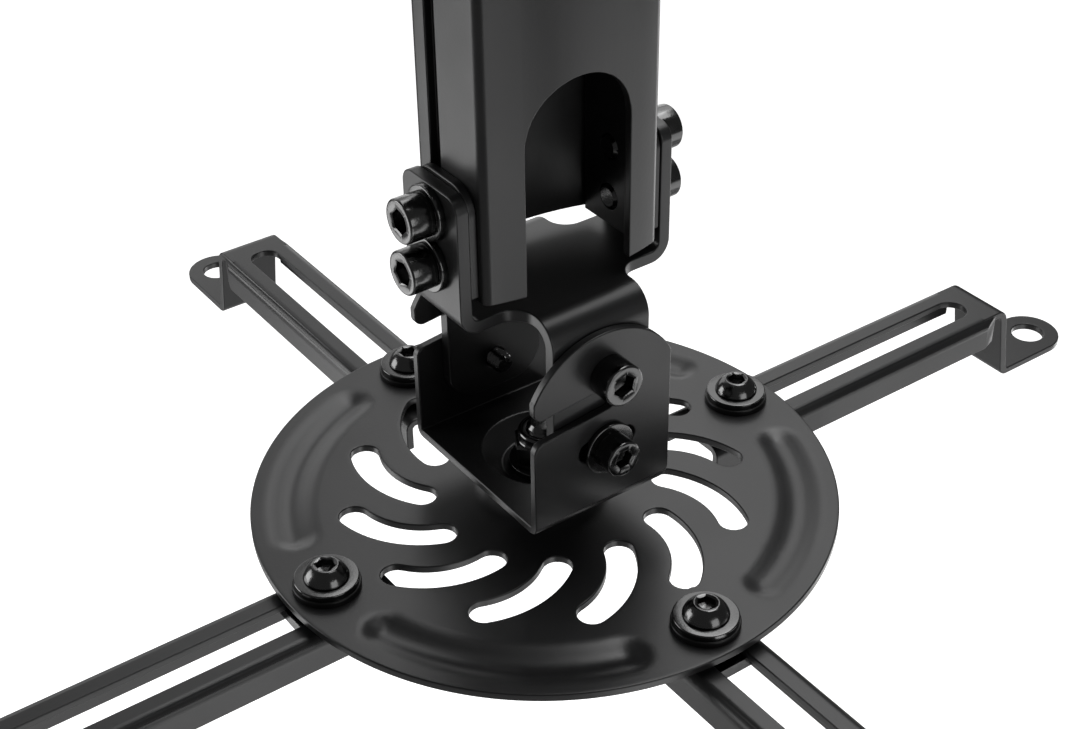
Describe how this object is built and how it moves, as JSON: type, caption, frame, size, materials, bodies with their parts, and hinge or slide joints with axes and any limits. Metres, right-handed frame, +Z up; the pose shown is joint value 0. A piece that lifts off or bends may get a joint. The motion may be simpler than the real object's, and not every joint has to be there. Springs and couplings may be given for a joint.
{
  "type": "projector ceiling mount",
  "caption": "Ceiling plate and telescopic column carrying a two-axis tilt joint and a slotted swivel disc with sliding arms that end in eyelets for a projector's base.",
  "frame": {"origin": "centre of the ceiling plate's top face, which lies on the ceiling", "axes": "+Z up towards the ceiling; +X and +Y along the arms; the column's arch faces -Y"},
  "size_m": [0.3638, 0.3638, 0.407],
  "materials": {
    "powder_coat": "semi-gloss black powder coat on sheet steel",
    "black_hardware": "glossy black plated steel",
    "black_nylon": "black nylon"
  },
  "bodies": {
    "upper_column": {"ceiling_plate": "powder_coat", "ceiling_bracket": "powder_coat", "bracket_screws": "black_hardware", "bracket_washers": "black_hardware", "sleeve_nut_plates": "powder_coat", "upper_sleeve": "powder_coat", "sleeve_weld_nuts": "black_hardware", "column_lock_screws": "black_hardware"},
    "lower_column": {"column_front_channel": "powder_coat", "column_rear_channel": "powder_coat", "ear_spacers": "powder_coat", "ear_screws": "black_hardware", "ear_washers": "black_hardware"},
    "yoke": {"yoke": "powder_coat", "cradle_pivot_screws": "black_hardware", "cradle_clamp_screws": "black_hardware", "cradle_clamp_washers": "black_hardware"},
    "cradle": {"cradle": "powder_coat", "pivot_bolt": "black_hardware", "pivot_friction_washer": "black_nylon", "pivot_washer": "black_hardware", "pivot_nut": "black_hardware", "pivot_nut_ring": "black_nylon"},
    "disc": {"disc": "powder_coat", "arm_bolts": "black_hardware", "arm_top_washers": "black_hardware", "arm_pad_washers": "black_nylon", "arm_spacers": "black_hardware"},
    "nut_plate_1": {"nut_plate_1": "black_hardware"},
    "arm_1": {"arm_1": "powder_coat"},
    "nut_plate_2": {"nut_plate_2": "black_hardware"},
    "arm_2": {"arm_2": "powder_coat"},
    "nut_plate_3": {"nut_plate_3": "black_hardware"},
    "arm_3": {"arm_3": "powder_coat"},
    "nut_plate_4": {"nut_plate_4": "black_hardware"},
    "arm_4": {"arm_4": "powder_coat"}
  },
  "joints": [
    {"name": "column_slide", "type": "slide", "parent": "upper_column", "child": "lower_column", "axis": [0, 0, -1], "range_m": [0, 0.11]},
    {"name": "yoke_tilt", "type": "hinge", "parent": "lower_column", "child": "yoke", "pos_m": [0, 0, -0.2945], "axis": [1, 0, 0], "range_deg": [-10, 10]},
    {"name": "cradle_tilt", "type": "hinge", "parent": "yoke", "child": "cradle", "pos_m": [0, 0, -0.3335], "axis": [0, 1, 0], "range_deg": [-15, 15]},
    {"name": "disc_spin", "type": "hinge", "parent": "cradle", "child": "disc", "pos_m": [0, 0, -0.38], "axis": [0, 0, 1], "continuous": true},
    {"name": "arm_1_swing", "type": "hinge", "parent": "disc", "child": "nut_plate_1", "pos_m": [0.06, 0, -0.3838], "axis": [0, 0, 1], "range_deg": [-30, 30]},
    {"name": "arm_1_slide", "type": "slide", "parent": "nut_plate_1", "child": "arm_1", "axis": [-1, 0, 0], "range_m": [0, 0.026]},
    {"name": "arm_2_swing", "type": "hinge", "parent": "disc", "child": "nut_plate_2", "pos_m": [0, 0.06, -0.3838], "axis": [0, 0, 1], "range_deg": [-30, 30]},
    {"name": "arm_2_slide", "type": "slide", "parent": "nut_plate_2", "child": "arm_2", "axis": [0, -1, 0], "range_m": [0, 0.026]},
    {"name": "arm_3_swing", "type": "hinge", "parent": "disc", "child": "nut_plate_3", "pos_m": [-0.06, 0, -0.3838], "axis": [0, 0, 1], "range_deg": [-30, 30]},
    {"name": "arm_3_slide", "type": "slide", "parent": "nut_plate_3", "child": "arm_3", "axis": [1, 0, 0], "range_m": [0, 0.026]},
    {"name": "arm_4_swing", "type": "hinge", "parent": "disc", "child": "nut_plate_4", "pos_m": [0, -0.06, -0.3838], "axis": [0, 0, 1], "range_deg": [-30, 30]},
    {"name": "arm_4_slide", "type": "slide", "parent": "nut_plate_4", "child": "arm_4", "axis": [0, 1, 0], "range_m": [0, 0.026]}
  ]
}
